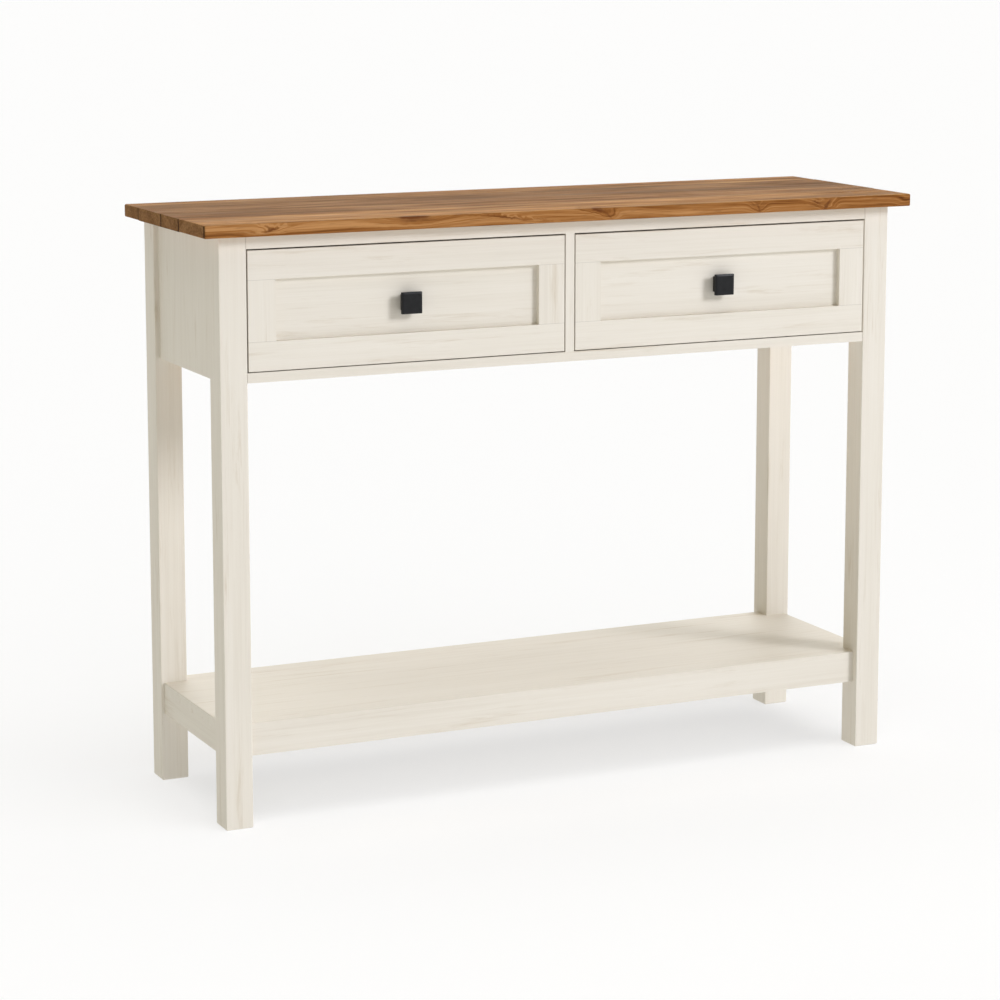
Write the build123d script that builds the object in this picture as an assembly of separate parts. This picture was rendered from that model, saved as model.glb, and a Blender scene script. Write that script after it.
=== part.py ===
from build123d import *
import os

# Console table with two drawers and a low shelf.
# Millimetres. Origin on the floor under the middle of the table top.
# X runs along the table, -Y is the front, Z is up.

# Overall sizes
TOP_LENGTH = 1050.0
TOP_DEPTH = 325.0
TABLE_HEIGHT = 800.0
TOP_THICK = 17.0
END_OVERHANG = 25.0
FRONT_OVERHANG = 20.0
BACK_OVERHANG = 8.0
TOP_BOARD_WIDTHS = (98.5, 70.0, 94.0, 62.5)  # front board first

# Frame
LEG = 38.0
APRON_THICK = 18.0
APRON_RECESS = 7.0
BOTTOM_RAIL_THICK = 13.0
TOP_RAIL_THICK = 17.5
OPENING_HEIGHT = 160.5
DIVIDER_WIDTH = 13.0
TENON_LENGTH = 15.0
TENON_THICK = 10.0
TENON_SHOULDER = 8.0
THIN_RAIL_SHOULDER = 3.5
STUB_LENGTH = 6.0
STUB_THICK = 6.0
STUB_WIDTH = 20.0

# Shelf
SHELF_TOP = 139.0
SHELF_PANEL_THICK = 15.0
SHELF_RAIL_HEIGHT = 29.0
SHELF_FRONT_RECESS = 9.5
SHELF_END_RECESS = 5.0

# Drawer supports
RUNNER_WIDTH = 35.0
CENTRE_RUNNER_WIDTH = 60.0
GUIDE_HEIGHT = 20.0
STOP_WIDTH = 26.0
STOP_HEIGHT = 30.0
STOP_RAISE = 40.0
STOP_CLEARANCE = 0.3

# Drawers
SIDE_GAP = 1.8
TOP_GAP = 2.2
BOTTOM_GAP = 1.5
FRONT_THICK = 18.0
FRAME_WIDTH = 38.0
PANEL_RECESS = 7.5
GROOVE_DEPTH = 6.0
TONGUE_THICK = 5.0
BOX_THICK = 12.0
BOX_DEPTH = 248.0
BOX_LIFT = 0.3
BOX_TOP_GAP = 3.0
BOTTOM_THICK = 5.0
BOTTOM_RAISE = 10.0
BOTTOM_INSET = 5.0
TAIL_COUNT = 4
TAIL_SHARE = 0.55
TAIL_SLOPE = 1 / 7

# Knob
KNOB_PLATE = 29.0
KNOB_PLATE_THICK = 4.0
KNOB_BEVEL = 2.5
KNOB_BEVEL_RISE = 1.0
KNOB_STEM = 21.0
KNOB_CORNER = 1.0
KNOB_REACH = 15.0

# Fasteners
SCREW_CLEARANCE = 0.1
WOOD_SCREW = (4.0, 8.0)  # shank and head diameters
TOP_SCREW_LENGTH = 30.0
GUIDE_SCREW_LENGTH = 26.0
CENTRE_GUIDE_SCREW_LENGTH = 30.0
END_SCREW_LENGTH = 45.0
END_SCREW_SPACING = {"runner": 40.0, "kicker": 24.0}
SHELF_SCREW_LENGTH = 39.0
SCREW_MARGIN = 28.0
BOX_SCREW = (3.5, 7.0)
BOX_SCREW_LENGTH = 22.0
FRONT_SCREW_RAISE = 10.0
KNOB_SCREW = 4.0
KNOB_SCREW_HEAD = 8.0
KNOB_SCREW_HEAD_HEIGHT = 2.5
KNOB_SCREW_HEAD_ROUND = 1.2
KNOB_SCREW_LENGTH = 30.0

# Eased edges
LEG_EDGE = 1.5
BOARD_EDGE = 0.8
TOP_EDGE = 2.0
TOP_CORNER = 3.0
JOINT_BEVEL = 0.6
FOOT_BEVEL = 1.4

# Derived limits of the frame
LEG_OUT = TOP_LENGTH / 2 - END_OVERHANG
LEG_IN = LEG_OUT - LEG
FRONT_Y = -TOP_DEPTH / 2 + FRONT_OVERHANG
BACK_Y = TOP_DEPTH / 2 - BACK_OVERHANG
FRONT_LEG_BACK = FRONT_Y + LEG
BACK_LEG_FRONT = BACK_Y - LEG
TOP_UNDER = TABLE_HEIGHT - TOP_THICK
OPENING_TOP = TOP_UNDER - TOP_RAIL_THICK
OPENING_FLOOR = OPENING_TOP - OPENING_HEIGHT
APRON_LOW = OPENING_FLOOR - BOTTOM_RAIL_THICK
APRON_OUT = LEG_OUT - APRON_RECESS
APRON_IN = APRON_OUT - APRON_THICK
BACK_APRON_OUT = BACK_Y - APRON_RECESS
BACK_APRON_IN = BACK_APRON_OUT - APRON_THICK
SHELF_UNDER = SHELF_TOP - SHELF_PANEL_THICK
SHELF_LOW = SHELF_UNDER - SHELF_RAIL_HEIGHT
SHELF_FRONT = FRONT_Y + SHELF_FRONT_RECESS
SHELF_BACK = BACK_Y - SHELF_FRONT_RECESS
SHELF_END = LEG_OUT - SHELF_END_RECESS

# Derived limits of a drawer
DRAWER_WIDTH = LEG_IN - DIVIDER_WIDTH / 2 - 2 * SIDE_GAP
DRAWER_CENTRE = (LEG_IN + DIVIDER_WIDTH / 2) / 2
FRONT_LOW = OPENING_FLOOR + BOTTOM_GAP
FRONT_HIGH = OPENING_TOP - TOP_GAP
BOX_FRONT = FRONT_Y + FRONT_THICK
BOX_BACK = BOX_FRONT + BOX_DEPTH
BOX_LOW = OPENING_FLOOR + BOX_LIFT
BOX_HIGH = OPENING_TOP - BOX_TOP_GAP
FLOOR_LOW = BOX_LOW + BOTTOM_RAISE
FLOOR_HIGH = FLOOR_LOW + BOTTOM_THICK

SIDES = {"left": -1, "right": 1}
TOUCH = 0.01  # positions closer than this are the same


def block(x, y, z):
    """A board between two limits on each axis, given in either order."""
    size = [abs(limits[1] - limits[0]) for limits in (x, y, z)]
    middle = [(limits[0] + limits[1]) / 2 for limits in (x, y, z)]
    return Pos(*middle) * Box(*size)


def screw(length, diameter, head):
    """A countersunk screw with its head's face at the origin, pointing down."""
    head_height = (head - diameter) / 2
    shank = Pos(0, 0, -length / 2) * Cylinder(diameter / 2, length)
    cone = Pos(0, 0, -head_height / 2) * Cone(diameter / 2, head / 2, head_height)
    return shank + cone


def screws(places, direction, length, diameters):
    """Screws at the given head positions, and the holes that they need."""
    diameter, head = diameters
    turn = Plane(origin=(0, 0, 0), z_dir=[-part for part in direction]).location
    body = turn * screw(length, diameter, head)
    hole = turn * screw(length + 1, diameter + 2 * SCREW_CLEARANCE, head + 2 * SCREW_CLEARANCE)
    return [Pos(*place) * body for place in places], [Pos(*place) * hole for place in places]


def save(name, shape):
    """Write one named piece, or one group of equal pieces."""
    if isinstance(shape, list):
        shape = Compound(children=shape)
    shape.label = name
    export_step(shape, f"parts/{name}.step")


# Tenons, each with the mortise that it fills, as plain blocks

def rail_tenons(y, z):
    """The tenons at both ends of a rail that runs along X between two legs."""
    return [block((side * LEG_IN, side * (LEG_IN + TENON_LENGTH)), y, z) for side in SIDES.values()]


def side_tenons(x, z):
    """The tenons at both ends of a rail that runs along Y between two legs."""
    front = block(x, (FRONT_LEG_BACK - TENON_LENGTH, FRONT_LEG_BACK), z)
    back = block(x, (BACK_LEG_FRONT, BACK_LEG_FRONT + TENON_LENGTH), z)
    return [front, back]


def inner_span(low, high):
    """The middle of a board's thickness, as thick as a tenon."""
    middle = (low + high) / 2
    half = TENON_THICK / 2
    return (middle - half, middle + half)


def shouldered(low, high, shoulder):
    """A tenon's width, with a shoulder at each edge of its board."""
    return (low + shoulder, high - shoulder)


APRON_TENON_Z = shouldered(APRON_LOW, TOP_UNDER, TENON_SHOULDER)
FRONT_RAIL_TENON_Y = shouldered(FRONT_Y, FRONT_LEG_BACK, TENON_SHOULDER)
TOP_RAIL_TENON_Z = shouldered(OPENING_TOP, TOP_UNDER, THIN_RAIL_SHOULDER)
BOTTOM_RAIL_TENON_Z = shouldered(APRON_LOW, OPENING_FLOOR, THIN_RAIL_SHOULDER)
SHELF_TENON_Z = shouldered(SHELF_LOW, SHELF_UNDER, THIN_RAIL_SHOULDER)


def frame_tenons():
    """Every tenon that enters a leg, by the name of the board it belongs to."""
    tenons = {
        "front_top_rail": rail_tenons(FRONT_RAIL_TENON_Y, TOP_RAIL_TENON_Z),
        "front_bottom_rail": rail_tenons(FRONT_RAIL_TENON_Y, BOTTOM_RAIL_TENON_Z),
        "back_apron": rail_tenons(inner_span(BACK_APRON_IN, BACK_APRON_OUT), APRON_TENON_Z),
        "shelf_front_rail": rail_tenons(inner_span(SHELF_FRONT, SHELF_FRONT + APRON_THICK), SHELF_TENON_Z),
        "shelf_back_rail": rail_tenons(inner_span(SHELF_BACK - APRON_THICK, SHELF_BACK), SHELF_TENON_Z),
    }
    for name, side in SIDES.items():
        apron_x = inner_span(side * APRON_IN, side * APRON_OUT)
        shelf_x = inner_span(side * SHELF_END, side * (SHELF_END - APRON_THICK))
        tenons[f"side_apron_{name}"] = side_tenons(apron_x, APRON_TENON_Z)
        tenons[f"shelf_{name}_rail"] = side_tenons(shelf_x, SHELF_TENON_Z)
    return tenons


# Top

def edges_at(board, axis, y):
    """A board's edges that run along an axis at one depth."""
    return [edge for edge in board.edges().filter_by(axis) if abs(edge.center().Y - y) < TOUCH]


def top_board(low, high):
    """One board of the top, rounded where it is an outer edge and bevelled at a joint."""
    board = block((-TOP_LENGTH / 2, TOP_LENGTH / 2), (low, high), (TOP_UNDER, TABLE_HEIGHT))
    for y in (low, high):
        if abs(abs(y) - TOP_DEPTH / 2) < TOUCH:
            board = fillet(edges_at(board, Axis.Z, y), TOP_CORNER)
            board = fillet(edges_at(board, Axis.X, y), TOP_EDGE)
        else:
            board = chamfer(ShapeList(edges_at(board, Axis.X, y)).sort_by(Axis.Z)[-1], JOINT_BEVEL)
    return board


def top_boards(holes):
    """Boards glued edge to edge, front board first."""
    boards = []
    low = -TOP_DEPTH / 2
    for width in TOP_BOARD_WIDTHS:
        boards.append(top_board(low, low + width) - holes)
        low += width
    return boards


# Legs and aprons

def leg(side, y, mortises):
    """A square leg with eased edges, a bevelled foot and its mortises."""
    post = block((side * LEG_IN, side * LEG_OUT), y, (0, TOP_UNDER))
    post = fillet(post.edges().filter_by(Axis.Z), LEG_EDGE)
    post = chamfer(post.faces().sort_by(Axis.Z)[0].edges(), FOOT_BEVEL)
    return post - mortises


def side_apron(side, tenons, holes):
    """A board between the front and the back leg, set back from their outer faces."""
    x = (side * APRON_IN, side * APRON_OUT)
    board = block(x, (FRONT_LEG_BACK, BACK_LEG_FRONT), (APRON_LOW, TOP_UNDER))
    board = fillet(board.edges().filter_by(Axis.Y).group_by(Axis.Z)[0], BOARD_EDGE)
    return board + tenons - holes


def back_apron(tenons, holes):
    """The board that closes the back between the two back legs."""
    board = block((-LEG_IN, LEG_IN), (BACK_APRON_IN, BACK_APRON_OUT), (APRON_LOW, TOP_UNDER))
    board = fillet(board.edges().filter_by(Axis.X).group_by(Axis.Z)[0], BOARD_EDGE)
    return board + tenons - holes


def front_rail(z, tenons, sockets):
    """A rail that lies flat between the front legs, flush with their front faces."""
    return block((-LEG_IN, LEG_IN), (FRONT_Y, FRONT_LEG_BACK), z) + tenons - sockets


def divider_stubs():
    """The short tenons that hold the divider in the rails above and below it."""
    x = (-STUB_THICK / 2, STUB_THICK / 2)
    upper = block(x, FRONT_RAIL_TENON_Y, (OPENING_TOP, OPENING_TOP + STUB_LENGTH))
    lower = block(x, FRONT_RAIL_TENON_Y, (OPENING_FLOOR - STUB_LENGTH, OPENING_FLOOR))
    return upper, lower


# Supports of the drawers

def support_stub(z):
    """The tongue that holds a centre support in the rail in front of it."""
    middle = (z[0] + z[1]) / 2
    half = STUB_THICK / 2
    x = (-STUB_WIDTH / 2, STUB_WIDTH / 2)
    return block(x, (FRONT_LEG_BACK - STUB_LENGTH, FRONT_LEG_BACK), (middle - half, middle + half))


def side_support(side, z, holes):
    """A strip on the side apron, carried on past the back leg to the back apron."""
    inner = APRON_IN - RUNNER_WIDTH
    strip = block((side * inner, side * APRON_IN), (FRONT_LEG_BACK, BACK_LEG_FRONT), z)
    tail = block((side * inner, side * LEG_IN), (BACK_LEG_FRONT, BACK_APRON_IN), z)
    return strip + tail - holes


def centre_support(width, z, stub, holes):
    """A strip from the front rail to the back apron, under or over both drawers."""
    strip = block((-width / 2, width / 2), (FRONT_LEG_BACK, BACK_APRON_IN), z)
    return strip + stub - holes


def stop_blocks():
    """Blocks on the back apron that the closed drawers rest against."""
    blocks = []
    edge = DRAWER_WIDTH / 2 - STOP_WIDTH / 2 - BOX_THICK
    z = (OPENING_FLOOR + STOP_RAISE, OPENING_FLOOR + STOP_RAISE + STOP_HEIGHT)
    for side in SIDES.values():
        for end in (-1, 1):
            middle = side * DRAWER_CENTRE + end * edge
            x = (middle - STOP_WIDTH / 2, middle + STOP_WIDTH / 2)
            blocks.append(block(x, (BOX_BACK + STOP_CLEARANCE, BACK_APRON_IN), z))
    return blocks


# Shelf

def shelf_panel(holes):
    """A panel that fits round the four legs."""
    panel = block((-SHELF_END, SHELF_END), (SHELF_FRONT, SHELF_BACK), (SHELF_UNDER, SHELF_TOP))
    for side in SIDES.values():
        x = (side * LEG_IN, side * LEG_OUT)
        panel -= block(x, (FRONT_Y, FRONT_LEG_BACK), (SHELF_UNDER, SHELF_TOP))
        panel -= block(x, (BACK_LEG_FRONT, BACK_Y), (SHELF_UNDER, SHELF_TOP))
    upper = panel.edges().group_by(Axis.Z)[-1]
    ends = [edge for edge in upper if abs(abs(edge.center().X) - SHELF_END) < TOUCH]
    long_edges = edges_at(panel, Axis.X, SHELF_FRONT) + edges_at(panel, Axis.X, SHELF_BACK)
    long_edges = [edge for edge in long_edges if edge.center().Z > SHELF_TOP - TOUCH]
    return fillet(ends + long_edges, BOARD_EDGE) - holes


def shelf_rail(x, y, tenons, holes):
    """A rail on edge under the shelf panel."""
    return block(x, y, (SHELF_LOW, SHELF_UNDER)) + tenons - holes


# Drawers, modelled around X = 0 and then moved to their openings

def front_frame():
    """Two full-width rails and two stiles between them, grooved for the panel."""
    half = DRAWER_WIDTH / 2
    y = (FRONT_Y, BOX_FRONT)
    upper_z = (FRONT_HIGH - FRAME_WIDTH, FRONT_HIGH)
    lower_z = (FRONT_LOW, FRONT_LOW + FRAME_WIDTH)
    tongue_y = panel_tongue_y()
    stub_z = (lower_z[1] - GROOVE_DEPTH, upper_z[0] + GROOVE_DEPTH)
    pieces = {
        "front_upper_rail": block((-half, half), y, upper_z),
        "front_lower_rail": block((-half, half), y, lower_z),
    }
    for name in ("upper", "lower"):
        rail = pieces[f"front_{name}_rail"]
        pieces[f"front_{name}_rail"] = rail - block((-half, half), tongue_y, stub_z)
    for name, side in SIDES.items():
        x = (side * (half - FRAME_WIDTH), side * half)
        stile = block(x, y, (lower_z[1], upper_z[0])) + block(x, tongue_y, stub_z)
        groove = block((x[0], x[0] + side * GROOVE_DEPTH), tongue_y, stub_z)
        pieces[f"front_{name}_stile"] = stile - groove
    return pieces


def panel_tongue_y():
    """The depth range of the tongue round the panel, in the middle of its thickness."""
    middle = (FRONT_Y + PANEL_RECESS + BOX_FRONT) / 2
    return (middle - TONGUE_THICK / 2, middle + TONGUE_THICK / 2)


def front_panel(holes):
    """The recessed panel, with a tongue in the grooves of its frame."""
    half = DRAWER_WIDTH / 2 - FRAME_WIDTH
    z = (FRONT_LOW + FRAME_WIDTH, FRONT_HIGH - FRAME_WIDTH)
    face = block((-half, half), (FRONT_Y + PANEL_RECESS, BOX_FRONT), z)
    wide = half + GROOVE_DEPTH
    tongue = block((-wide, wide), panel_tongue_y(), (z[0] - GROOVE_DEPTH, z[1] + GROOVE_DEPTH))
    return face + tongue - holes


def tails(side, y_end, y_base, z):
    """Dovetails at one end of a drawer side, widest at y_end."""
    half = DRAWER_WIDTH / 2
    pitch = (z[1] - z[0]) / TAIL_COUNT
    narrow = pitch * TAIL_SHARE / 2
    wide = narrow + abs(y_end - y_base) * TAIL_SLOPE
    x_low = min(side * half, side * (half - BOX_THICK))
    pieces = []
    for index in range(TAIL_COUNT):
        middle = z[0] + pitch * (index + 0.5)
        outline = Polyline(
            (x_low, y_base, middle - narrow),
            (x_low, y_end, middle - wide),
            (x_low, y_end, middle + wide),
            (x_low, y_base, middle + narrow),
            close=True,
        )
        pieces.append(extrude(make_face(outline), amount=BOX_THICK, dir=(1, 0, 0)))
    return pieces


def drawer_box(bottom, front_holes):
    """Inner front, sides and back, dovetailed at the corners, grooved for the bottom."""
    half = DRAWER_WIDTH / 2
    inner_y = BOX_FRONT + BOX_THICK
    back_y = BOX_BACK - BOX_THICK
    front_z = (BOX_LOW, BOX_HIGH)
    back_z = (FLOOR_HIGH, BOX_HIGH)
    front = block((-half, half), (BOX_FRONT, inner_y), front_z)
    back = block((-half, half), (back_y, BOX_BACK), back_z)
    pieces = {}
    for name, side in SIDES.items():
        x = (side * (half - BOX_THICK), side * half)
        front_tails = tails(side, BOX_FRONT, inner_y, front_z)
        back_tails = tails(side, BOX_BACK, back_y, back_z)
        board = block(x, (BOX_FRONT, BOX_BACK), front_z)
        board -= block(x, (BOX_FRONT, inner_y), front_z) - front_tails
        board -= block(x, (back_y, BOX_BACK), back_z) - back_tails
        pieces[f"box_side_{name}"] = board - bottom
        front -= front_tails
        back -= back_tails
    pieces["box_front"] = front - bottom - front_holes
    pieces["box_back"] = back
    return pieces


def box_bottom():
    """A thin board held in grooves, which runs under the back."""
    half = DRAWER_WIDTH / 2 - BOX_THICK + BOTTOM_INSET
    front = BOX_FRONT + BOX_THICK - BOTTOM_INSET
    return block((-half, half), (front, BOX_BACK), (FLOOR_LOW, FLOOR_HIGH))


def knob(y_face, z_middle, hole):
    """A square plate with a bevelled rim, on a narrower square stem."""
    stem_length = KNOB_REACH - KNOB_PLATE_THICK
    rim_thick = KNOB_PLATE_THICK - KNOB_BEVEL_RISE
    flat = KNOB_PLATE - 2 * KNOB_BEVEL
    foot = Plane(origin=(0, y_face, z_middle), z_dir=(0, -1, 0))
    plate_back = foot.offset(stem_length)
    rim_front = plate_back.offset(rim_thick)
    outline = RectangleRounded(KNOB_PLATE, KNOB_PLATE, KNOB_CORNER)
    stem = extrude(foot * Rectangle(KNOB_STEM, KNOB_STEM), amount=stem_length)
    rim = extrude(plate_back * outline, amount=rim_thick)
    face = rim_front.offset(KNOB_BEVEL_RISE) * RectangleRounded(flat, flat, KNOB_CORNER)
    bevel = loft([rim_front * outline, face])
    return stem + rim + bevel - hole


def knob_screw(y_head, z_middle, grow):
    """A pan-head machine screw from inside the drawer into the knob."""
    shank = Cylinder(KNOB_SCREW / 2 + grow, KNOB_SCREW_LENGTH + grow)
    head = Cylinder(KNOB_SCREW_HEAD / 2, KNOB_SCREW_HEAD_HEIGHT)
    head = fillet(head.edges().sort_by(Axis.Z)[-1], KNOB_SCREW_HEAD_ROUND)
    body = Pos(0, 0, -(KNOB_SCREW_LENGTH + grow) / 2) * shank
    if not grow:
        body += Pos(0, 0, KNOB_SCREW_HEAD_HEIGHT / 2) * head
    return Plane(origin=(0, y_head, z_middle), z_dir=(0, 1, 0)).location * body


def drawer():
    """All pieces of one drawer, by name, around X = 0."""
    inner_y = BOX_FRONT + BOX_THICK
    z_middle = (FRONT_LOW + FRONT_HIGH) / 2
    knob_hole = knob_screw(inner_y, z_middle, SCREW_CLEARANCE)
    front_places = [
        (x, inner_y, z)
        for x in (-DRAWER_WIDTH / 3, DRAWER_WIDTH / 3)
        for z in (FLOOR_HIGH + FRONT_SCREW_RAISE, FRONT_HIGH - FRAME_WIDTH / 2)
    ]
    back_places = [(x, BOX_BACK - BOX_THICK / 2, FLOOR_LOW) for x in (-DRAWER_WIDTH / 3, 0, DRAWER_WIDTH / 3)]
    front_screws, front_holes = screws(front_places, (0, -1, 0), BOX_SCREW_LENGTH, BOX_SCREW)
    back_screws, back_holes = screws(back_places, (0, 0, 1), BOX_SCREW_LENGTH, BOX_SCREW)

    bottom = box_bottom()
    pieces = front_frame()
    for name in ("front_upper_rail", "front_lower_rail"):
        pieces[name] -= front_holes
    pieces["front_panel"] = front_panel([knob_hole])
    pieces.update(drawer_box(bottom, front_holes + [knob_hole]))
    pieces["box_back"] -= back_holes
    pieces["box_bottom"] = bottom - back_holes
    pieces["knob"] = knob(FRONT_Y + PANEL_RECESS, z_middle, knob_hole)
    pieces["knob_screw"] = knob_screw(inner_y, z_middle, 0)
    pieces["screws"] = front_screws + back_screws
    return pieces


# Screws of the frame, as head positions

def along(low, high, count, margin):
    """Evenly spaced positions between two limits, with a margin at each end."""
    step = (high - low - 2 * margin) / (count - 1)
    return [low + margin + step * index for index in range(count)]


def kicker_places():
    """Screws up through the kickers into the top."""
    outer = APRON_IN - RUNNER_WIDTH / 2
    depths = along(FRONT_LEG_BACK, BACK_LEG_FRONT, 3, SCREW_MARGIN)
    return [(x, y, OPENING_TOP) for x in (-outer, 0, outer) for y in depths]


def guide_places(side):
    """Screws through a side guide into its apron."""
    z = OPENING_FLOOR + GUIDE_HEIGHT / 2
    return [(side * LEG_IN, y, z) for y in along(FRONT_LEG_BACK, BACK_LEG_FRONT, 3, SCREW_MARGIN)]


def centre_guide_places():
    """Screws down through the centre guide into the centre runner."""
    z = OPENING_FLOOR + GUIDE_HEIGHT
    return [(0, y, z) for y in along(FRONT_LEG_BACK, BACK_APRON_IN, 3, SCREW_MARGIN)]


def end_places():
    """Screws through the back apron into the ends of the centre runner and the centre kicker."""
    heights = {"runner": (APRON_LOW + OPENING_FLOOR) / 2, "kicker": (OPENING_TOP + TOP_UNDER) / 2}
    return [
        (side * END_SCREW_SPACING[name] / 2, BACK_APRON_OUT, z)
        for name, z in heights.items()
        for side in SIDES.values()
    ]


def shelf_places():
    """Screws up through the shelf rails into the shelf panel."""
    half = APRON_THICK / 2
    lengths = along(-LEG_IN, LEG_IN, 4, 2 * SCREW_MARGIN)
    depths = along(FRONT_LEG_BACK, BACK_LEG_FRONT, 2, 2 * SCREW_MARGIN)
    places = [(x, y, SHELF_LOW) for x in lengths for y in (SHELF_FRONT + half, SHELF_BACK - half)]
    places += [(side * (SHELF_END - half), y, SHELF_LOW) for side in SIDES.values() for y in depths]
    return places


# The whole frame

def top_and_kickers(kicker_z, stub, end_holes):
    """The top's boards, the kickers under it and the screws between them."""
    top_screws, holes = screws(kicker_places(), (0, 0, 1), TOP_SCREW_LENGTH, WOOD_SCREW)
    pieces = {f"top_board_{index}": board for index, board in enumerate(top_boards(holes), 1)}
    for name, side in SIDES.items():
        pieces[f"kicker_{name}"] = side_support(side, kicker_z, holes)
    pieces["kicker_centre"] = centre_support(RUNNER_WIDTH, kicker_z, stub, holes + end_holes)
    pieces["top_screws"] = top_screws
    return pieces


def guide(x, y, holes):
    """A strip that stands on a runner and keeps a drawer straight."""
    return block(x, y, (OPENING_FLOOR, OPENING_FLOOR + GUIDE_HEIGHT)) - holes


def runners_and_guides(runner_z, stub, end_holes):
    """The runners, and the centre guide with its screws."""
    guide_screws, holes = screws(centre_guide_places(), (0, 0, -1), CENTRE_GUIDE_SCREW_LENGTH, WOOD_SCREW)
    pieces = {f"runner_{name}": side_support(side, runner_z, []) for name, side in SIDES.items()}
    pieces["runner_centre"] = centre_support(CENTRE_RUNNER_WIDTH, runner_z, stub, holes + end_holes)
    half = DIVIDER_WIDTH / 2
    pieces["guide_centre"] = guide((-half, half), (FRONT_LEG_BACK, BACK_APRON_IN), holes)
    return pieces, guide_screws


def legs_and_side_aprons(tenons):
    """The legs, the side aprons and the guides on them, with the guides' screws."""
    mortises = [tenon for group in tenons.values() for tenon in group]
    pieces = {}
    all_screws = []
    for name, side in SIDES.items():
        guide_screws, holes = screws(guide_places(side), (side, 0, 0), GUIDE_SCREW_LENGTH, WOOD_SCREW)
        all_screws += guide_screws
        apron = f"side_apron_{name}"
        guide_x = (side * LEG_IN, side * APRON_IN)
        pieces[f"leg_front_{name}"] = leg(side, (FRONT_Y, FRONT_LEG_BACK), mortises)
        pieces[f"leg_back_{name}"] = leg(side, (BACK_LEG_FRONT, BACK_Y), mortises)
        pieces[apron] = side_apron(side, tenons[apron], holes)
        pieces[f"guide_{name}"] = guide(guide_x, (FRONT_LEG_BACK, BACK_LEG_FRONT), holes)
    return pieces, all_screws


def shelf(tenons):
    """The shelf's panel, the rails under its edges and their screws."""
    panel_screws, holes = screws(shelf_places(), (0, 0, 1), SHELF_SCREW_LENGTH, WOOD_SCREW)
    length_x = (-LEG_IN, LEG_IN)
    depth_y = (FRONT_LEG_BACK, BACK_LEG_FRONT)
    limits = {
        "shelf_front_rail": (length_x, (SHELF_FRONT, SHELF_FRONT + APRON_THICK)),
        "shelf_back_rail": (length_x, (SHELF_BACK - APRON_THICK, SHELF_BACK)),
    }
    for name, side in SIDES.items():
        limits[f"shelf_{name}_rail"] = ((side * (SHELF_END - APRON_THICK), side * SHELF_END), depth_y)
    pieces = {name: shelf_rail(x, y, tenons[name], holes) for name, (x, y) in limits.items()}
    pieces["shelf_panel"] = shelf_panel(holes)
    pieces["shelf_screws"] = panel_screws
    return pieces


def frame_pieces():
    """All fixed pieces of the table, by name."""
    tenons = frame_tenons()
    upper_stub, lower_stub = divider_stubs()
    kicker_z = (OPENING_TOP, TOP_UNDER)
    runner_z = (APRON_LOW, OPENING_FLOOR)
    kicker_stub = support_stub(kicker_z)
    runner_stub = support_stub(runner_z)
    end_screws, end_holes = screws(end_places(), (0, -1, 0), END_SCREW_LENGTH, WOOD_SCREW)
    half = DIVIDER_WIDTH / 2
    divider = block((-half, half), (FRONT_Y, FRONT_LEG_BACK), (OPENING_FLOOR, OPENING_TOP))

    pieces = top_and_kickers(kicker_z, kicker_stub, end_holes)
    supports, centre_screws = runners_and_guides(runner_z, runner_stub, end_holes)
    sides, side_screws = legs_and_side_aprons(tenons)
    pieces.update(supports)
    pieces.update(sides)
    pieces.update(shelf(tenons))
    pieces["front_top_rail"] = front_rail(kicker_z, tenons["front_top_rail"], [upper_stub, kicker_stub])
    pieces["front_bottom_rail"] = front_rail(runner_z, tenons["front_bottom_rail"], [lower_stub, runner_stub])
    pieces["drawer_divider"] = divider + upper_stub + lower_stub
    pieces["back_apron"] = back_apron(tenons["back_apron"], end_holes)
    pieces["drawer_stops"] = stop_blocks()
    pieces["support_screws"] = centre_screws + side_screws + end_screws
    return pieces


def main():
    os.makedirs("parts", exist_ok=True)
    for name, shape in frame_pieces().items():
        save(name, shape)
    pieces = drawer()
    for side_name, side in SIDES.items():
        place = Pos(side * DRAWER_CENTRE, 0, 0)
        for name, shape in pieces.items():
            moved = [place * item for item in shape] if isinstance(shape, list) else place * shape
            save(f"drawer_{side_name}_{name}", moved)


main()
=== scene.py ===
"""Looks for the console table: a streaky hardwood top on a brush-painted frame with two drawers."""

import math
from collections import namedtuple

import bpy
from mathutils import Euler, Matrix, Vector


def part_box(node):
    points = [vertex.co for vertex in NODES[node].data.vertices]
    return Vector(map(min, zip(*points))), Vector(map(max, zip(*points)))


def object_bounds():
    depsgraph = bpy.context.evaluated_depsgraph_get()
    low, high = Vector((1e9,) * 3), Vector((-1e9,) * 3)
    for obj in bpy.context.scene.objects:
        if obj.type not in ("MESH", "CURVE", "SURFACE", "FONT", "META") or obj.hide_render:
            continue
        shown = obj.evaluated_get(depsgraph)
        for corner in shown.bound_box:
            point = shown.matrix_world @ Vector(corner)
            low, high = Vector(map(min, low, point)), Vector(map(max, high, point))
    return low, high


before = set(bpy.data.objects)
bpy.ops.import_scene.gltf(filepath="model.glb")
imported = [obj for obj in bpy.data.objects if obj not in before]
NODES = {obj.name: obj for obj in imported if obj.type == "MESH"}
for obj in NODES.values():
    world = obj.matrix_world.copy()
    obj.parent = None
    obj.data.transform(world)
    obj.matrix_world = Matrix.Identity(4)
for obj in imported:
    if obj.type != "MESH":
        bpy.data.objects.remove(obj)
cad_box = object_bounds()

X, Y, Z = range(3)
AXIS_LETTERS = "xyz"

# Camera, in metres and degrees, with the lens in millimetres
CAMERA_PLACE = (-1.784, -3.742, 1.186)
CAMERA_TURN = -25.02  # about Z, from looking along +Y
CAMERA_TILT = -8.96  # below the horizon
CAMERA_LENS = 108.2
CAMERA_SHIFT_Y = -0.11
CAMERA_SIGHT = 1000.0  # how far it sees

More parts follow.
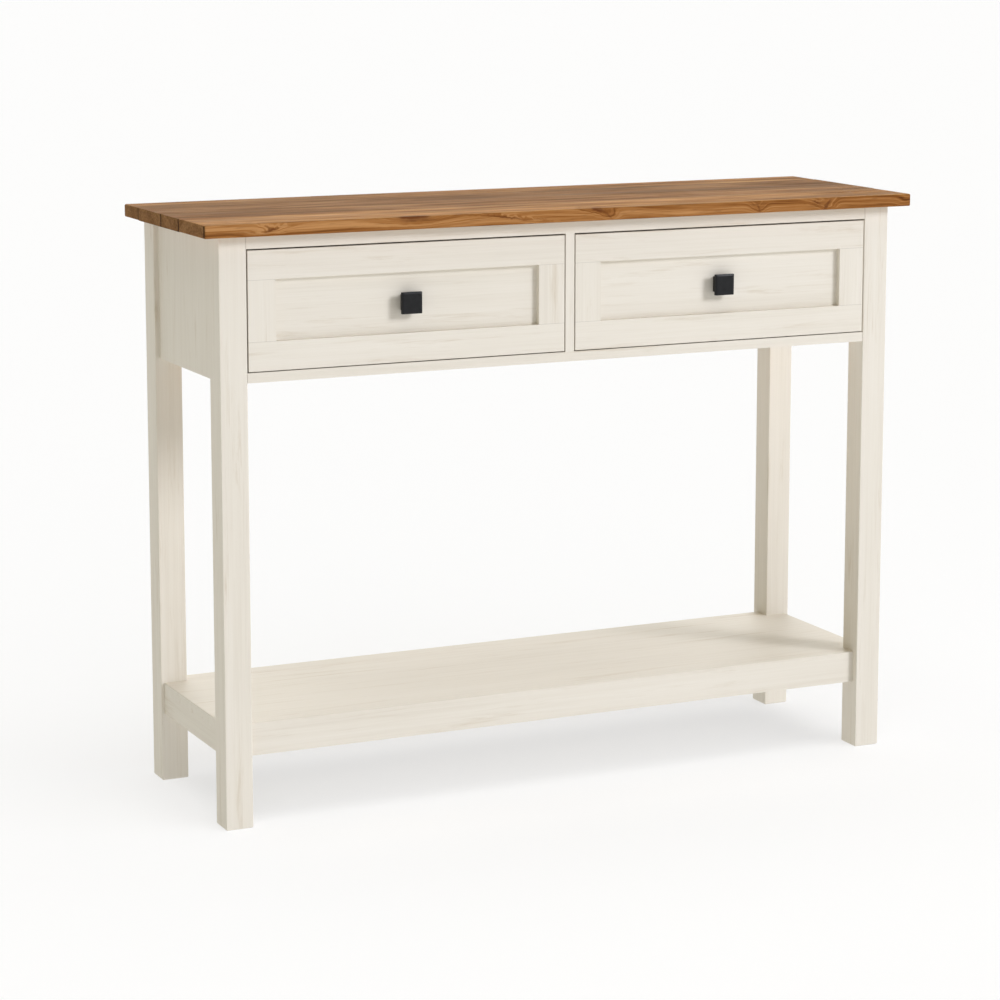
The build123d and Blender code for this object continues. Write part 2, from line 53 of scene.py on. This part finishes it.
# Suns: where the light comes from, its strength, how wide it is in degrees, and its colour
Sun = namedtuple("Sun", "come_from power angle colour")
KEY = Sun(come_from=(0.67, -0.74, 0.45), power=1.58, angle=18.0, colour=(0.99, 1.0, 1.06))
OVERHEAD = Sun(come_from=(0.05, 0.1, 1.0), power=1.66, angle=75.0, colour=(1.03, 1.0, 0.94))
FLOOR_LIGHT = Sun(come_from=(0.15, -0.95, 1.0), power=1.75, angle=80.0, colour=(1.0, 1.0, 1.0))
FILL = Sun(come_from=(-0.9, -0.1, 0.35), power=0.24, angle=60.0, colour=(1.0, 0.93, 0.42))
BACK = Sun(come_from=(0.3, 0.9, 0.35), power=1.35, angle=50.0, colour=(0.98, 1.0, 1.0))

# Round softbox, in metres and watts
SOFTBOX_FROM = (1.4, -1.6, 1.22)
SOFTBOX_DISTANCE = 2.45
SOFTBOX_WIDTH = 1.0
SOFTBOX_POWER = 6.0

# Studio walls under a dimmer ceiling; the heights are the z of the direction looked in
WALL_LIGHT = 1.0
WALL_TOP = 0.085
CEILING_LIGHT = 0.02
CEILING_START = 0.22
STUDIO_COLOUR = (1.0, 0.985, 0.955)

# Floor, in metres
FLOOR_SIZE = 400.0
FLOOR_TONE = 0.45
FLOOR_SPECKLE = 0.01
FLOOR_GLOW = 0.545
FLOOR_GLOW_COLOUR = (0.965, 0.975, 1.0)

# Colours, as single ones or as (tone, colour) stops
PAINT_COAT = (
    (0.34, (0.715, 0.665, 0.575)),
    (0.50, (0.762, 0.716, 0.630)),
    (0.66, (0.790, 0.748, 0.668)),
)
PAINT_IN_PORES = (0.60, 0.53, 0.42)
PAINT_RUBBED = (0.58, 0.50, 0.38)
PAINT_SEAM = (0.34, 0.31, 0.26)
SAWN_WOOD = (
    (0.30, (0.088, 0.030, 0.008)),
    (0.44, (0.203, 0.075, 0.018)),
    (0.55, (0.290, 0.124, 0.036)),
    (0.70, (0.418, 0.210, 0.079)),
)
# Top wood: lighter and greyer than the sawn front, partly from wear and partly as painted sheen
WORN_WOOD_AND_SHEEN = (
    (0.34, (0.152, 0.063, 0.018)),
    (0.45, (0.284, 0.130, 0.038)),
    (0.55, (0.392, 0.187, 0.056)),
    (0.67, (0.540, 0.288, 0.096)),
)
GREYED_WOOD = (0.238, 0.133, 0.058)
WOOD_PORE = (0.08, 0.032, 0.010)
WOOD_KNOT = (0.115, 0.034, 0.010)
# dark glue lines, also used as painted shade along the top's front edge
WOOD_JOINT_AND_EDGE_SHADE = (0.030, 0.016, 0.008)
END_WOOD_PALE = (0.275, 0.146, 0.058)
END_WOOD_DARK = (0.155, 0.078, 0.030)
PINE = (
    (0.36, (0.47, 0.285, 0.135)),
    (0.48, (0.60, 0.405, 0.215)),
    (0.62, (0.69, 0.500, 0.300)),
)
BIRCH_FACE = (
    (0.36, (0.58, 0.41, 0.24)),
    (0.50, (0.68, 0.51, 0.32)),
    (0.64, (0.75, 0.60, 0.41)),
)
BIRCH_PLY_DARK = (0.33, 0.20, 0.10)
BIRCH_PLY_PALE = (0.63, 0.46, 0.28)
BLACK_COAT = ((0.35, (0.0060, 0.0062, 0.0070)), (0.70, (0.0110, 0.0113, 0.0122)))
ZINC_PLATE = ((0.35, (0.46, 0.43, 0.36)), (0.65, (0.62, 0.60, 0.54)))

# Hairlines in the paint, and in the top the glue lines and the painted shade along its front edge, fading
# between two distances from the joint or edge, in metres
SEAM_FADE = (0.0002, 0.0008)
SEAM_STRENGTH = 0.45
GLUE_AND_EDGE_SHADE_FADE_ON_END = (0.0028, 0.0050)
GLUE_AND_EDGE_SHADE_FADE_ON_TOP = (0.0006, 0.0018)
PLY_THICK = 0.001

# Knots on the front edge of the top, in metres: how far along the board and up it each one is, its half
# length and half height, its tilt in degrees, and how dark it is, 0 to 1
Knot = namedtuple("Knot", "along upward half_length half_height tilt darkness")
FRONT_KNOTS = (
    Knot(0.090, 0.008, 0.013, 0.0022, 10.0, 0.8),
    Knot(0.086, 0.012, 0.007, 0.0020, -22.0, 0.5),
    Knot(0.289, 0.018, 0.026, 0.008, 0.0, 1.0),
    Knot(0.425, 0.010, 0.032, 0.0018, -9.0, 0.7),
    Knot(0.557, 0.014, 0.010, 0.004, -14.0, 1.0),
    Knot(0.574, 0.006, 0.0022, 0.009, 48.0, 0.5),
    Knot(0.804, 0.008, 0.0024, 0.010, 30.0, 0.6),
    Knot(0.913, 0.007, 0.0028, 0.010, -38.0, 0.8),
    Knot(0.897, 0.010, 0.012, 0.0020, -14.0, 0.6),
    Knot(1.042, 0.010, 0.005, 0.004, 20.0, 0.3),
)
KNOT_WOBBLE = 0.008  # how far a knot's outline wanders
KNOT_DARK_DEPTH = (0.003, 0.014)  # how far behind the front face its dark core fades

# Rings bend round a knot, by up to KNOT_BEND, in an oval larger than the knot
KNOT_BEND = 0.014
KNOT_BEND_DEPTH = (0.006, 0.045)  # how far behind the front face they straighten
KNOT_BEND_LENGTH = 1.8  # times the knot's
KNOT_BEND_HEIGHT = 1.7  # times the knot's
KNOT_BEND_MARGIN = 0.006  # added to its half length

# Boards of the top: what sets a board's grain apart, its pith line's y and z from the top's front upper
# edge, a colour that multiplies its own, how dark the line at its front side is (a glue line, but on the
# front board painted shade along the top's front edge), and its knots
Board = namedtuple("Board", "shift pith tint groove knots", defaults=((),))
BOARDS = {
    # the front board's front line is painted shade along the top's front edge and the ends' front corners
    "top_board_1": Board(0.0, (0.02, -0.11), (1.15, 1.15, 1.15), 0.8, FRONT_KNOTS),
    "top_board_2": Board(3.7, (0.20, -0.07), (0.86, 0.83, 0.80), 0.9),
    "top_board_3": Board(7.9, (0.14, 0.06), (0.74, 0.72, 0.70), 0.95),
    "top_board_4": Board(12.3, (0.36, -0.05), (0.94, 0.93, 0.91), 0.5),
}


class Graph:
    """One material's node tree, built a node at a time."""

    def __init__(self, name):
        self.material = bpy.data.materials.new(name)
        self.material.use_nodes = True
        self.tree = self.material.node_tree
        self.tree.nodes.clear()
        coordinates = self.node("TexCoord", {})
        self.point = coordinates.outputs["Object"]
        self.normal = coordinates.outputs["Normal"]

    def node(self, kind, inputs, **settings):
        """Adds a node, sets its options, and fills or links the inputs given by name or number."""
        made = self.tree.nodes.new("ShaderNode" + kind)
        for option, value in settings.items():
            setattr(made, option, value)
        for key, value in inputs.items():
            if isinstance(value, bpy.types.NodeSocket):
                self.tree.links.new(value, made.inputs[key])
            else:
                made.inputs[key].default_value = value
        return made

    def math(self, operation, *values):
        """A sum or other operation on sockets and numbers."""
        return self.node("Math", dict(enumerate(values)), operation=operation).outputs[0]

    def total(self, *weighted, start=0.0):
        """The sum of (socket, weight) pairs, from a starting number."""
        result = start
        for value, weight in weighted:
            result = self.math("MULTIPLY_ADD", value, weight, result)
        return result

    def rest(self, share):
        """What a share leaves of 1."""
        return self.math("SUBTRACT", 1.0, share)

    def stretch(self, vector, scale, offset=(0.0, 0.0, 0.0)):
        """The vector times scale, plus offset, axis by axis."""
        inputs = {0: vector, 1: scale, 2: offset}
        return self.node("VectorMath", inputs, operation="MULTIPLY_ADD").outputs[0]

    def parts(self, vector):
        """The x, y and z of a vector."""
        return self.node("SeparateXYZ", {0: vector}).outputs[0:3]

    def vector(self, x, y, z):
        """The vector of those three parts."""
        return self.node("CombineXYZ", {0: x, 1: y, 2: z}).outputs[0]

    def noise(self, vector, detail=3.0, roughness=0.5, distortion=0.0, output="Fac"):
        """Noise from 0 to 1, about one feature per unit of the vector."""
        settings = {"Vector": vector, "Scale": 1.0, "Detail": detail}
        settings.update({"Roughness": roughness, "Distortion": distortion})
        return self.node("TexNoise", settings).outputs[output]

    def speckle(self, density, **settings):
        """Noise that is the same in every direction, with about that many features per metre."""
        return self.noise(self.stretch(self.point, (density,) * 3), **settings)

    def grain(self, axis, along, across, offset=(0.0, 0.0, 0.0), **settings):
        """Noise in streaks along an axis, with about that many features per metre along and across."""
        scale = [across] * 3
        scale[axis] = along
        return self.noise(self.stretch(self.point, scale, offset), **settings)

    def remap(self, value, source, result=(0.0, 1.0)):
        """The value brought from one (low, high) range to another, and held there, with soft ends."""
        inputs = {"Value": value, "From Min": source[0], "From Max": source[1]}
        inputs.update({"To Min": result[0], "To Max": result[1]})
        return self.node("MapRange", inputs, interpolation_type="SMOOTHSTEP").outputs[0]

    def ramp(self, value, stops):
        """A colour for the value, between (place, colour) stops."""
        made = self.node("ValToRGB", {0: value})
        elements = made.color_ramp.elements
        while len(elements) < len(stops):
            elements.new(0.5)
        for element, (place, colour) in zip(elements, stops):
            element.position = place
            element.color = (*colour, 1.0)
        return made.outputs["Color"]

    def blend(self, share, colour_a, colour_b, mode="MIX"):
        """colour_a with that share of colour_b."""
        inputs = {0: share, 6: colour_a, 7: colour_b}
        for key, value in inputs.items():
            if isinstance(value, tuple):
                inputs[key] = (*value, 1.0)
        return self.node("Mix", inputs, data_type="RGBA", blend_type=mode).outputs[2]

    def finish(self, colour, roughness, height, relief, specular=0.5, metallic=0.0):
        """Ends the tree in a principled surface, with relief as the height's real size in metres."""
        bump = self.node("Bump", {"Strength": 1.0, "Distance": relief, "Height": height})
        inputs = {"Base Color": colour, "Roughness": roughness, "Normal": bump.outputs[0]}
        inputs.update({"Specular IOR Level": specular, "Metallic": metallic})
        surface = self.node("BsdfPrincipled", inputs)
        self.node("OutputMaterial", {"Surface": surface.outputs[0]})
        return self.material


def seam_line(graph, axis, place):
    """How strongly a hairline shows in the paint, at a place along an axis."""
    distance = graph.math("ABSOLUTE", graph.math("SUBTRACT", graph.parts(graph.point)[axis], place))
    return graph.remap(distance, SEAM_FADE, (SEAM_STRENGTH, 0.0))


def paint(name, axis, seams=()):
    """Brushed off-white paint over wood, with brush, grain and wear marks that run along the axis.

    Each seam is an axis and the place along it where the paint shows a hairline, as over a glued joint."""
    graph = Graph(name)
    cloud = graph.grain(axis, 2.0, 14.0, detail=2.0)
    brush = graph.grain(axis, 3.0, 130.0, detail=3.0, roughness=0.6)
    bristle = graph.grain(axis, 9.0, 620.0, detail=2.0)
    wood = graph.grain(axis, 7.0, 210.0, detail=4.0, roughness=0.65, distortion=0.25)
    rub = graph.grain(axis, 5.0, 75.0, detail=5.0, roughness=0.7, distortion=0.4)
    pores = graph.remap(wood, (0.60, 0.74))

    tone = graph.total((cloud, 0.34), (brush, 0.44), (bristle, 0.22))
    colour = graph.ramp(tone, PAINT_COAT)
    colour = graph.blend(graph.math("MULTIPLY", pores, 0.25), colour, PAINT_IN_PORES)
    colour = graph.blend(graph.remap(rub, (0.545, 0.78), (0.0, 0.66)), colour, PAINT_RUBBED)
    for seam_axis, place in seams:
        colour = graph.blend(seam_line(graph, seam_axis, place), colour, PAINT_SEAM)

    roughness = graph.remap(brush, (0.3, 0.7), (0.54, 0.64))
    height = graph.total((brush, 0.5), (bristle, 0.2), (pores, -0.35))
    return graph.finish(colour, roughness, height, relief=0.00025, specular=0.3)


def growth_rings(graph, board):
    """The distance from the board's pith line in metres, swaying as a trunk's rings do."""
    low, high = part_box("top_board_1")
    _, y, z = graph.parts(graph.point)
    behind = graph.math("SUBTRACT", y, low.y + board.pith[0])
    above = graph.math("SUBTRACT", z, high.z + board.pith[1])
    squared = graph.math("MULTIPLY_ADD", behind, behind, graph.math("MULTIPLY", above, above))
    sway = graph.grain(X, 1.6, 9.0, (board.shift, 0.0, board.shift), detail=2.0)
    ripple = graph.grain(X, 7.0, 30.0, (board.shift, 0.0, 0.0), detail=2.0)
    return graph.total((graph.math("SQRT", squared), 1.0), (sway, 0.050), (ripple, 0.010))


def oval(graph, place, centre, half_length, half_height, tilt):
    """A soft tilted oval in the x and z of place, from 1 at its centre to about a third at its rim."""
    x, _, z = graph.parts(place)
    along = graph.math("SUBTRACT", x, centre[0])
    upward = graph.math("SUBTRACT", z, centre[1])
    cosine, sine = math.cos(math.radians(tilt)), math.sin(math.radians(tilt))
    u = graph.total((along, cosine / half_length), (upward, sine / half_length))
    v = graph.total((along, -sine / half_height), (upward, cosine / half_height))
    squared = graph.math("MULTIPLY_ADD", u, u, graph.math("MULTIPLY", v, v))
    return graph.math("EXPONENT", graph.math("MULTIPLY", squared, -1.0))


def grow_knots(graph, low, rings, knots):
    """The rings as the knots bend them, and how dark the knots are.

    low is the board's lower front left corner."""
    _, y, _ = graph.parts(graph.point)
    dark_share = graph.remap(y, [low.y + depth for depth in KNOT_DARK_DEPTH], (1.0, 0.0))
    bend_share = graph.remap(y, [low.y + depth for depth in KNOT_BEND_DEPTH], (1.0, 0.0))
    wobble = graph.speckle(90.0, detail=2.0, output="Color")
    wobble = graph.stretch(wobble, (KNOT_WOBBLE,) * 3, (-KNOT_WOBBLE / 2,) * 3)
    place = graph.node("VectorMath", {0: wobble, 1: graph.point}, operation="ADD").outputs[0]
    dark = 0.0
    for knot in knots:
        centre = (low.x + knot.along, low.z + knot.upward)
        core = oval(graph, place, centre, knot.half_length, knot.half_height, knot.tilt)
        core = graph.math("MULTIPLY", core, dark_share)
        bend_length = knot.half_length * KNOT_BEND_LENGTH + KNOT_BEND_MARGIN
        bend = oval(graph, place, centre, bend_length, knot.half_height * KNOT_BEND_HEIGHT, knot.tilt)
        bend = graph.math("MULTIPLY", bend, bend_share)
        rings = graph.math("MULTIPLY_ADD", bend, KNOT_BEND * knot.darkness, rings)
        dark = graph.math("MULTIPLY_ADD", core, knot.darkness, dark)
    inner_rings = graph.noise(graph.vector(0.0, graph.math("MULTIPLY", rings, 500.0), 0.0), detail=1.0)
    ringed = graph.remap(inner_rings, (0.3, 0.7), (0.5, 1.0))
    return rings, graph.math("MULTIPLY", graph.remap(dark, (0.15, 0.75)), ringed)


def glue_line_and_edge_shade(graph, x, from_front, groove, on_end, on_front):
    """How dark the line at a board's front side is: solid on its ends, and broken on its top. Between
    boards it is a glue line; on the front board it is painted shade along the top's front edge.
    """
    broken = graph.noise(graph.vector(graph.math("MULTIPLY", x, 9.0), 0.0, 0.0))
    broken = graph.remap(broken, (0.40, 0.62), (0.1, 0.6))
    end_line = graph.math("MULTIPLY", graph.remap(from_front, GLUE_AND_EDGE_SHADE_FADE_ON_END, (groove, 0.0)), on_end)
    top_line = graph.math("MULTIPLY", graph.remap(from_front, GLUE_AND_EDGE_SHADE_FADE_ON_TOP, (groove, 0.0)), broken)
    return graph.math("MAXIMUM", end_line, graph.math("MULTIPLY", top_line, graph.rest(on_front)))


def worn_wood_and_sheen(graph, shift, broad, lines, fibre):
    """The tone and the colour of the top's wood, which is streaky and a little grey in places; the colour
    is lighter and greyer than the sawn front, partly from wear and partly as painted sheen.
    """
    streak = graph.grain(X, 5.5, 46.0, (shift, shift, 0.0), detail=4.0, roughness=0.6)
    hair = graph.grain(X, 8.0, 250.0, (shift, 0.0, shift), detail=3.0, roughness=0.65)
    grey = graph.grain(X, 2.2, 24.0, (-shift, shift, 0.0), detail=3.0)
    marks = ((streak, 0.62), (broad, 0.22), (lines, 0.25), (fibre, 0.25), (hair, 0.50))
    tone = graph.total(*marks, start=-0.42)
    greyed = graph.remap(grey, (0.46, 0.68), (0.0, 0.6))
    return tone, graph.blend(greyed, graph.ramp(tone, WORN_WOOD_AND_SHEEN), GREYED_WOOD)


def end_wood(graph, sawn):
    """The colour of a board's ends, where the rings are cut across, with a quarter of the sawn colour."""
    rings = graph.grain(X, 3.0, 420.0, detail=2.0)
    colour = graph.blend(graph.remap(rings, (0.35, 0.65)), END_WOOD_PALE, END_WOOD_DARK)
    return graph.blend(0.25, colour, sawn)


def board_wood(name, node, board):
    """Oiled hardwood with its grain along X, in rings round a pith line that lies off the board.

    The front edge looks freshly sawn and shows the rings; the rest has a lighter, greyer colour, partly
    from wear and partly as painted sheen."""
    graph = Graph(name)
    low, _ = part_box(node)
    x, y, _ = graph.parts(graph.point)
    x = graph.math("ADD", x, board.shift)
    facing_x, facing_y, _ = graph.parts(graph.normal)
    on_end = graph.remap(graph.math("ABSOLUTE", facing_x), (0.5, 0.9))
    on_front = graph.remap(facing_y, (-0.9, -0.5), (1.0, 0.0))

    rings = growth_rings(graph, board)
    if board.knots:
        rings, knot_dark = grow_knots(graph, low, rings, board.knots)

    def bands(along, across, **settings):
        """Noise that follows the rings."""
        across_rings = graph.math("MULTIPLY", rings, across)
        return graph.noise(graph.vector(graph.math("MULTIPLY", x, along), across_rings, 0.0), **settings)

    broad = bands(1.3, 48.0, detail=2.0)
    lines = bands(2.6, 250.0, detail=3.0, roughness=0.6)
    fibre = graph.grain(X, 14.0, 700.0, detail=3.0, roughness=0.6)
    pores = graph.remap(graph.grain(X, 38.0, 1000.0, detail=1.0), (0.60, 0.74))

    sawn_tone = graph.total((broad, 0.95), (lines, 0.80), (fibre, 0.30), start=-0.525)
    sawn = graph.ramp(sawn_tone, SAWN_WOOD)
    # the top's colour is lighter and greyer than the sawn front: partly wear, partly painted sheen
    worn_tone, worn_and_sheen = worn_wood_and_sheen(graph, board.shift, broad, lines, fibre)
    colour = graph.blend(1.0, graph.blend(on_front, worn_and_sheen, sawn), board.tint, "MULTIPLY")
    colour = graph.blend(graph.math("MULTIPLY", pores, 0.35), colour, WOOD_PORE)
    if board.knots:
        colour = graph.blend(knot_dark, colour, WOOD_KNOT)

    colour = graph.blend(on_end, colour, end_wood(graph, sawn))
    # darkens the glue lines, and on the front board paints shade along the top's front edge and the ends'
    # front corners
    line = glue_line_and_edge_shade(graph, x, graph.math("SUBTRACT", y, low.y), board.groove, on_end, on_front)
    colour = graph.blend(line, colour, WOOD_JOINT_AND_EDGE_SHADE)

    tone = graph.total((sawn_tone, on_front), (worn_tone, graph.rest(on_front)))
    roughness = graph.remap(tone, (0.35, 0.65), (0.74, 0.62))
    height = graph.total((lines, 0.5), (fibre, 0.35), (pores, -0.5), (line, -1.0))
    return graph.finish(colour, roughness, height, relief=0.0003, specular=0.03)


def softwood(name, axis):
    """Bare planed pine with its grain along the axis."""
    graph = Graph(name)
    sway = graph.grain(axis, 1.5, 8.0, detail=2.0)
    rings = graph.grain(axis, 1.2, 95.0, detail=3.0, roughness=0.55, distortion=0.3)
    fibre = graph.grain(axis, 16.0, 800.0, detail=2.0)
    colour = graph.ramp(graph.total((sway, 0.30), (rings, 0.52), (fibre, 0.18)), PINE)
    roughness = graph.remap(fibre, (0.3, 0.7), (0.55, 0.68))
    height = graph.total((rings, 0.6), (fibre, 0.4))
    return graph.finish(colour, roughness, height, relief=0.0002)


def plywood(name):
    """Birch plywood: a calm face veneer with its grain along X, and plies showing at the edges."""
    graph = Graph(name)
    face = graph.noise(graph.stretch(graph.point, (2.5, 40.0, 3.0)), detail=3.0, distortion=0.6)
    fleck = graph.grain(X, 60.0, 700.0, detail=2.0)
    tone = graph.total((face, 0.7), (fleck, 0.3))
    veneer = graph.ramp(tone, BIRCH_FACE)
    plies = graph.math("PINGPONG", graph.parts(graph.point)[Z], PLY_THICK)
    plies = graph.remap(plies, (0.4 * PLY_THICK, 0.6 * PLY_THICK))
    edge = graph.blend(plies, BIRCH_PLY_DARK, BIRCH_PLY_PALE)
    facing_z = graph.math("ABSOLUTE", graph.parts(graph.normal)[Z])
    colour = graph.blend(graph.remap(facing_z, (0.3, 0.7)), edge, veneer)
    roughness = graph.remap(tone, (0.35, 0.65), (0.50, 0.62))
    return graph.finish(colour, roughness, tone, relief=0.00015)


def powder_coat(name):
    """Black powder coat with a fine orange-peel texture, rubbed a little lighter in places."""
    graph = Graph(name)
    peel = graph.speckle(1500.0, detail=2.0)
    rubbed = graph.speckle(120.0, detail=3.0)
    colour = graph.ramp(rubbed, BLACK_COAT)
    roughness = graph.remap(rubbed, (0.3, 0.7), (0.34, 0.46))
    return graph.finish(colour, roughness, peel, relief=0.00004, specular=0.22)


def zinc(name):
    """Zinc-plated steel: pale, slightly yellow, with fine turning marks."""
    graph = Graph(name)
    turned = graph.grain(Z, 2400.0, 900.0, detail=2.0)
    patch = graph.speckle(260.0, detail=2.0)
    colour = graph.ramp(patch, ZINC_PLATE)
    roughness = graph.remap(turned, (0.3, 0.7), (0.26, 0.42))
    return graph.finish(colour, roughness, turned, relief=0.00003, metallic=1.0)


def seamed_paints():
    """Paint with a hairline where the front shows a glued joint, for each node that has one."""
    lower_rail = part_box("drawer_left_front_lower_rail")
    upper_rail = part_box("drawer_left_front_upper_rail")
    right_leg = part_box("leg_front_right")
    stile = paint("painted_wood_stile", Z, ((Z, lower_rail[1].z), (Z, upper_rail[0].z)))
    rail = paint("painted_wood_rail", X, ((X, right_leg[0].x),))
    finishes = {name: stile for name in NODES if name.endswith("stile")}
    finishes.update({"front_top_rail": rail, "front_bottom_rail": rail})
    return finishes


def grain_axis(name):
    """The axis that a node's grain runs along: its box's longest one, but upright on the side aprons."""
    if name.startswith("side_apron"):
        return Z
    low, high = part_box(name)
    return max((X, Y, Z), key=lambda axis: high[axis] - low[axis])


def dress():
    """Gives every CAD node its finish, by the record's material slot and the way its grain runs."""
    boards = {node: board_wood(node.replace("board", "wood"), node, BOARDS[node]) for node in BOARDS}
    paints = [paint("painted_wood_" + letter, axis) for axis, letter in enumerate(AXIS_LETTERS)]
    seamed = seamed_paints()
    softwoods = [softwood("inner_wood_" + letter, axis) for axis, letter in enumerate(AXIS_LETTERS)]
    ply = plywood("drawer_ply")
    black = powder_coat("knob_black")
    steel = zinc("screw_steel")
    for name, node in NODES.items():
        axis = grain_axis(name)
        finishes = {
            "top_wood": boards.get(name),
            "painted_wood": seamed.get(name, paints[axis]),
            "inner_wood": softwoods[axis],
            "drawer_ply": ply,
            "knob_black": black,
            "screw_steel": steel,
        }
        finish = finishes[node.material_slots[0].name]
        for slot in node.material_slots:
            slot.material = finish


def floor_finish():
    """A white that glows faintly, as a lit product table does, so that shadows stay light."""
    graph = Graph("floor")
    tones = ((0.3, (FLOOR_TONE - FLOOR_SPECKLE,) * 3), (0.7, (FLOOR_TONE + FLOOR_SPECKLE,) * 3))
    surface = graph.node("BsdfDiffuse", {"Color": graph.ramp(graph.speckle(900.0, detail=2.0), tones)})
    glow = graph.node("Emission", {"Color": (*FLOOR_GLOW_COLOUR, 1.0), "Strength": FLOOR_GLOW})
    both = graph.node("AddShader", {0: surface.outputs[0], 1: glow.outputs[0]})
    graph.node("OutputMaterial", {"Surface": both.outputs[0]})
    return graph.material


def floor():
    """The studio floor, under the table and far past it."""
    half = FLOOR_SIZE / 2
    mesh = bpy.data.meshes.new("floor")
    corners = [(-half, -half, 0), (half, -half, 0), (half, half, 0), (-half, half, 0)]
    mesh.from_pydata(corners, [], [(0, 1, 2, 3)])
    mesh.materials.append(floor_finish())
    made = bpy.data.objects.new("floor", mesh)
    bpy.context.scene.collection.objects.link(made)
    return made


def surroundings():
    """White studio walls near the horizon under a dimmer ceiling."""
    world = bpy.data.worlds.new("studio")
    world.use_nodes = True
    tree = world.node_tree
    tree.nodes.clear()
    direction = tree.nodes.new("ShaderNodeTexCoord")
    parts = tree.nodes.new("ShaderNodeSeparateXYZ")
    fade = tree.nodes.new("ShaderNodeMapRange")
    fade.interpolation_type = "SMOOTHSTEP"
    fade.inputs["From Min"].default_value = WALL_TOP
    fade.inputs["From Max"].default_value = CEILING_START
    fade.inputs["To Min"].default_value = WALL_LIGHT
    fade.inputs["To Max"].default_value = CEILING_LIGHT
    background = tree.nodes.new("ShaderNodeBackground")
    background.inputs["Color"].default_value = (*STUDIO_COLOUR, 1.0)
    output = tree.nodes.new("ShaderNodeOutputWorld")
    tree.links.new(direction.outputs["Generated"], parts.inputs[0])
    tree.links.new(parts.outputs[Z], fade.inputs["Value"])
    tree.links.new(fade.outputs[0], background.inputs["Strength"])
    tree.links.new(background.outputs[0], output.inputs["Surface"])
    bpy.context.scene.world = world


def reach(name, lit, state):
    """What a light reaches: that object only (INCLUDE), or everything but that object (EXCLUDE)."""
    made = bpy.data.collections.new(name)
    made.objects.link(lit)
    made.collection_objects[0].light_linking.link_state = state
    return made


def place_light(light, come_from, reaches, distance=0.0):
    """Aims a light at the table's middle from a direction, to light what reaches says, or everything."""
    made = bpy.data.objects.new(light.name, light)
    direction = Vector(come_from).normalized()
    made.location = (cad_box[0] + cad_box[1]) / 2 + direction * distance
    made.rotation_euler = direction.to_track_quat("Z", "Y").to_euler()
    made.visible_camera = False
    made.light_linking.receiver_collection = reaches
    bpy.context.scene.collection.objects.link(made)


def sun(name, source, reaches=None):
    """A wide, soft light that is equally strong everywhere."""
    light = bpy.data.lights.new(name, "SUN")
    light.energy = source.power
    light.angle = math.radians(source.angle)
    light.color = source.colour
    place_light(light, source.come_from, reaches)


def softbox(name, reaches=None):
    """A round softbox on the key light's side, which lights the table's right end a little more."""
    light = bpy.data.lights.new(name, "AREA")
    light.shape = "DISK"
    light.size = SOFTBOX_WIDTH
    light.energy = SOFTBOX_POWER
    light.color = KEY.colour
    place_light(light, SOFTBOX_FROM, reaches, SOFTBOX_DISTANCE)


def camera():
    """The camera, level from side to side."""
    lens = bpy.data.cameras.new("camera")
    lens.lens = CAMERA_LENS
    lens.shift_y = CAMERA_SHIFT_Y
    lens.clip_end = CAMERA_SIGHT
    made = bpy.data.objects.new("camera", lens)
    made.location = CAMERA_PLACE
    made.rotation_euler = Euler((math.radians(90 + CAMERA_TILT), 0.0, math.radians(CAMERA_TURN)))
    bpy.context.scene.collection.objects.link(made)
    bpy.context.scene.camera = made


dress()
sweep = floor()
off_floor = reach("off_floor", sweep, "EXCLUDE")
floor_only = reach("floor_only", sweep, "INCLUDE")
surroundings()
sun("key", KEY, off_floor)
softbox("key_near", off_floor)
sun("overhead", OVERHEAD)
sun("floor_light", FLOOR_LIGHT, floor_only)
sun("fill", FILL)
sun("back", BACK, off_floor)
camera()
bpy.context.scene.view_settings.view_transform = "Standard"
